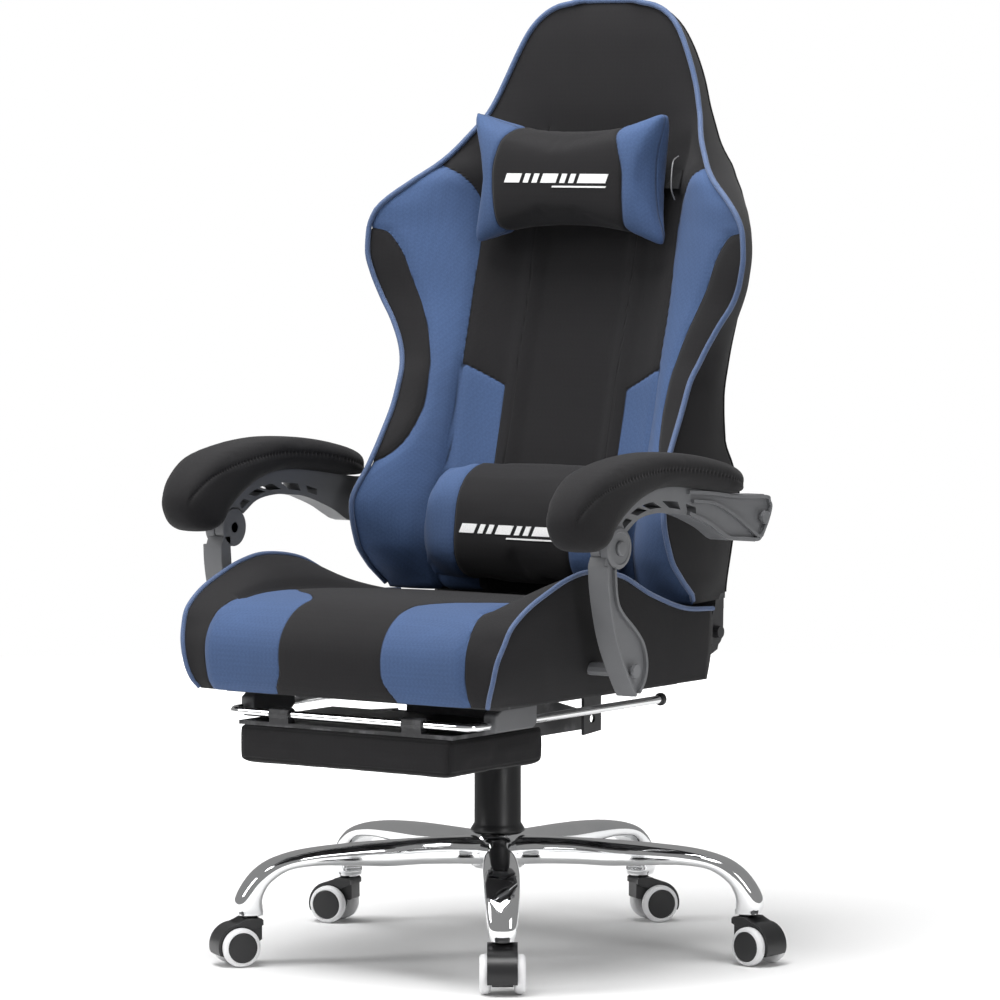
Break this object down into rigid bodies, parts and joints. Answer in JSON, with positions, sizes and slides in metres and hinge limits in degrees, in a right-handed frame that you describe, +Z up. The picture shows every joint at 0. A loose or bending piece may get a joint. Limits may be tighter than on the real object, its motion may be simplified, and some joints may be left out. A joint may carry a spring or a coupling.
{
  "type": "gaming chair",
  "caption": "Racing-style gaming chair with a reclining winged back, linked armrests, tilt and lift, head and lumbar cushions, and a pull-out footrest, on a chrome star base with casters.",
  "frame": {"origin": "centre of the bounding box at the floor", "axes": "+Z up; the sitter faces -Y; +X is the sitter's left"},
  "size_m": [0.7404, 0.7532, 1.238],
  "materials": {
    "chrome": "polished plate",
    "black_steel": "satin powder coat",
    "black_plastic": "fine-textured moulding",
    "grey_plastic": "fine-textured moulding",
    "wheel_tread": "white polyurethane tread, black cap",
    "black_fabric": "fine woven fabric",
    "blue_fabric": "fine woven fabric",
    "webbing": "elastic webbing"
  },
  "bodies": {
    "base": {"star_base": "chrome", "lift_outer_tube": "black_steel", "dust_cover_lower": "black_plastic", "caster_front_left_stem": "black_steel", "caster_side_left_stem": "black_steel", "caster_rear_stem": "black_steel", "caster_side_right_stem": "black_steel", "caster_front_right_stem": "black_steel"},
    "caster_front_left": {"caster_front_left_hood": "black_plastic"},
    "caster_front_left_wheel_left_roll": {"caster_front_left_wheel_left": "wheel_tread"},
    "caster_front_left_wheel_right_roll": {"caster_front_left_wheel_right": "wheel_tread"},
    "caster_side_left": {"caster_side_left_hood": "black_plastic"},
    "caster_side_left_wheel_left_roll": {"caster_side_left_wheel_left": "wheel_tread"},
    "caster_side_left_wheel_right_roll": {"caster_side_left_wheel_right": "wheel_tread"},
    "caster_rear": {"caster_rear_hood": "black_plastic"},
    "caster_rear_wheel_left_roll": {"caster_rear_wheel_left": "wheel_tread"},
    "caster_rear_wheel_right_roll": {"caster_rear_wheel_right": "wheel_tread"},
    "caster_side_right": {"caster_side_right_hood": "black_plastic"},
    "caster_side_right_wheel_left_roll": {"caster_side_right_wheel_left": "wheel_tread"},
    "caster_side_right_wheel_right_roll": {"caster_side_right_wheel_right": "wheel_tread"},
    "caster_front_right": {"caster_front_right_hood": "black_plastic"},
    "caster_front_right_wheel_left_roll": {"caster_front_right_wheel_left": "wheel_tread"},
    "caster_front_right_wheel_right_roll": {"caster_front_right_wheel_right": "wheel_tread"},
    "dust_middle": {"dust_cover_middle": "black_plastic"},
    "column": {"lift_inner_column": "chrome", "dust_cover_upper": "black_plastic"},
    "mechanism": {"tilt_housing": "black_steel"},
    "tension_adjuster": {"tension_knob": "black_plastic"},
    "lift_handle": {"height_lever": "black_plastic"},
    "seat": {"seat_plate": "black_steel", "seat_pan": "black_steel", "seat_cushion": "blue_fabric", "seat_bolster_left": "black_fabric", "seat_bolster_right": "black_fabric", "footrest_guide_left": "grey_plastic", "footrest_guide_right": "grey_plastic", "recliner_left": "black_steel", "recliner_right": "black_steel", "arm_left_front_bolt": "black_steel", "arm_right_front_bolt": "black_steel"},
    "back": {"back_frame": "black_steel", "back_cushion": "black_fabric", "back_wing_left": "blue_fabric", "back_wing_right": "blue_fabric", "back_cover": "black_fabric", "head_pillow": "black_fabric", "head_strap": "webbing", "lumbar_cushion": "black_fabric", "arm_left_rear_bolt": "black_steel", "arm_right_rear_bolt": "black_steel"},
    "recline_handle": {"recline_lever": "black_plastic"},
    "left_post": {"arm_left_post": "grey_plastic"},
    "left_armrest": {"arm_left_beam": "grey_plastic", "arm_left_pad": "black_fabric"},
    "right_post": {"arm_right_post": "grey_plastic"},
    "right_armrest": {"arm_right_beam": "grey_plastic", "arm_right_pad": "black_fabric"},
    "footrest": {"footrest_frame": "chrome"},
    "footrest_flap": {"footrest_board": "black_steel", "footrest_pad": "black_fabric"}
  },
  "joints": [
    {"name": "caster_front_left_swivel", "type": "hinge", "parent": "base", "child": "caster_front_left", "pos_m": [0.19737, -0.28158, 0.06], "axis": [0, 0, 1], "continuous": true},
    {"name": "caster_front_left_wheel_left_spin", "type": "hinge", "parent": "caster_front_left", "child": "caster_front_left_wheel_left_roll", "pos_m": [0.20884, -0.29797, 0.025], "axis": [0.8192, 0.5736, 0], "continuous": true},
    {"name": "caster_front_left_wheel_right_spin", "type": "hinge", "parent": "caster_front_left", "child": "caster_front_left_wheel_right_roll", "pos_m": [0.20884, -0.29797, 0.025], "axis": [0.8192, 0.5736, 0], "continuous": true},
    {"name": "caster_side_left_swivel", "type": "hinge", "parent": "base", "child": "caster_side_left", "pos_m": [0.31907, 0.09296, 0.06], "axis": [0, 0, 1], "continuous": true},
    {"name": "caster_side_left_wheel_left_spin", "type": "hinge", "parent": "caster_side_left", "child": "caster_side_left_wheel_left_roll", "pos_m": [0.33892, 0.09052, 0.025], "axis": [0.1219, 0.9925, 0], "continuous": true},
    {"name": "caster_side_left_wheel_right_spin", "type": "hinge", "parent": "caster_side_left", "child": "caster_side_left_wheel_right_roll", "pos_m": [0.33892, 0.09052, 0.025], "axis": [0.1219, 0.9925, 0], "continuous": true},
    {"name": "caster_rear_swivel", "type": "hinge", "parent": "base", "child": "caster_rear", "pos_m": [0.00046, 0.32444, 0.06], "axis": [0, 0, 1], "continuous": true},
    {"name": "caster_rear_wheel_left_spin", "type": "hinge", "parent": "caster_rear", "child": "caster_rear_wheel_left_roll", "pos_m": [0.01165, 0.34102, 0.025], "axis": [-0.829, 0.5592, 0], "continuous": true},
    {"name": "caster_rear_wheel_right_spin", "type": "hinge", "parent": "caster_rear", "child": "caster_rear_wheel_right_roll", "pos_m": [0.01165, 0.34102, 0.025], "axis": [-0.829, 0.5592, 0], "continuous": true},
    {"name": "caster_side_right_swivel", "type": "hinge", "parent": "base", "child": "caster_side_right", "pos_m": [-0.31814, 0.09296, 0.06], "axis": [0, 0, 1], "continuous": true},
    {"name": "caster_side_right_wheel_left_spin", "type": "hinge", "parent": "caster_side_right", "child": "caster_side_right_wheel_left_roll", "pos_m": [-0.3377, 0.0888, 0.025], "axis": [0.2079, -0.9781, 0], "continuous": true},
    {"name": "caster_side_right_wheel_right_spin", "type": "hinge", "parent": "caster_side_right", "child": "caster_side_right_wheel_right_roll", "pos_m": [-0.3377, 0.0888, 0.025], "axis": [0.2079, -0.9781, 0], "continuous": true},
    {"name": "caster_front_right_swivel", "type": "hinge", "parent": "base", "child": "caster_front_right", "pos_m": [-0.19645, -0.28158, 0.06], "axis": [0, 0, 1], "continuous": true},
    {"name": "caster_front_right_wheel_left_spin", "type": "hinge", "parent": "caster_front_right", "child": "caster_front_right_wheel_left_roll", "pos_m": [-0.20734, -0.29836, 0.025], "axis": [0.8387, -0.5446, 0], "continuous": true},
    {"name": "caster_front_right_wheel_right_spin", "type": "hinge", "parent": "caster_front_right", "child": "caster_front_right_wheel_right_roll", "pos_m": [-0.20734, -0.29836, 0.025], "axis": [0.8387, -0.5446, 0], "continuous": true},
    {"name": "lift", "type": "slide", "parent": "base", "child": "column", "axis": [0, 0, 1], "range_m": [-0.03, 0.05]},
    {"name": "dust_cover_slide", "type": "slide", "parent": "base", "child": "dust_middle", "axis": [0, 0, 1], "range_m": [-0.015, 0.025]},
    {"name": "seat_swivel", "type": "hinge", "parent": "column", "child": "mechanism", "pos_m": [0.00046, -0.01056, 0.296], "axis": [0, 0, 1], "continuous": true},
    {"name": "tension_turn", "type": "hinge", "parent": "mechanism", "child": "tension_adjuster", "pos_m": [0.00046, -0.09256, 0.276], "axis": [0, 0, 1], "continuous": true},
    {"name": "lift_handle_pull", "type": "hinge", "parent": "mechanism", "child": "lift_handle", "pos_m": [-0.04354, 0.01944, 0.298], "axis": [0, 1, 0], "range_deg": [0, 7], "stiffness_Nm_per_rad": 4, "springref_deg": -11.46},
    {"name": "seat_tilt", "type": "hinge", "parent": "mechanism", "child": "seat", "pos_m": [0.00046, -0.05056, 0.326], "axis": [-1, 0, 0], "range_deg": [0, 10], "stiffness_Nm_per_rad": 400, "springref_deg": -11.46},
    {"name": "recline", "type": "hinge", "parent": "seat", "child": "back", "pos_m": [0.00046, 0.16244, 0.416], "axis": [-1, 0, 0], "range_deg": [0, 45]},
    {"name": "recline_handle_pull", "type": "hinge", "parent": "seat", "child": "recline_handle", "pos_m": [-0.24954, 0.16244, 0.416], "axis": [-1, 0, 0], "range_deg": [0, 25], "stiffness_Nm_per_rad": 1.5, "springref_deg": -17.19},
    {"name": "footrest_slide", "type": "slide", "parent": "seat", "child": "footrest", "axis": [0, -1, 0], "range_m": [0, 0.28]},
    {"name": "footrest_flip", "type": "hinge", "parent": "footrest", "child": "footrest_flap", "pos_m": [0.00046, -0.33756, 0.3325], "axis": [-1, 0, 0], "range_deg": [0, 180]},
    {"name": "left_post_pivot", "type": "hinge", "parent": "seat", "child": "left_post", "pos_m": [0.30046, -0.16656, 0.397], "axis": [-1, 0, 0], "range_deg": [0, 45]},
    {"name": "left_armrest_pivot", "type": "hinge", "parent": "back", "child": "left_armrest", "pos_m": [0.30046, 0.13244, 0.571], "axis": [-1, 0, 0], "range_deg": [-45, 0]},
    {"name": "right_post_pivot", "type": "hinge", "parent": "seat", "child": "right_post", "pos_m": [-0.29954, -0.16656, 0.397], "axis": [-1, 0, 0], "range_deg": [0, 45]},
    {"name": "right_armrest_pivot", "type": "hinge", "parent": "back", "child": "right_armrest", "pos_m": [-0.29954, 0.13244, 0.571], "axis": [-1, 0, 0], "range_deg": [-45, 0]}
  ],
  "couplings": [
    {"joint": "dust_cover_slide", "follows": "lift", "ratio": 0.5},
    {"joint": "footrest_flip", "follows": "footrest_slide", "rad_per_m": 11.22},
    {"joint": "left_post_pivot", "follows": "recline", "ratio": 1},
    {"joint": "left_armrest_pivot", "follows": "recline", "ratio": -1},
    {"joint": "right_post_pivot", "follows": "recline", "ratio": 1},
    {"joint": "right_armrest_pivot", "follows": "recline", "ratio": -1}
  ]
}
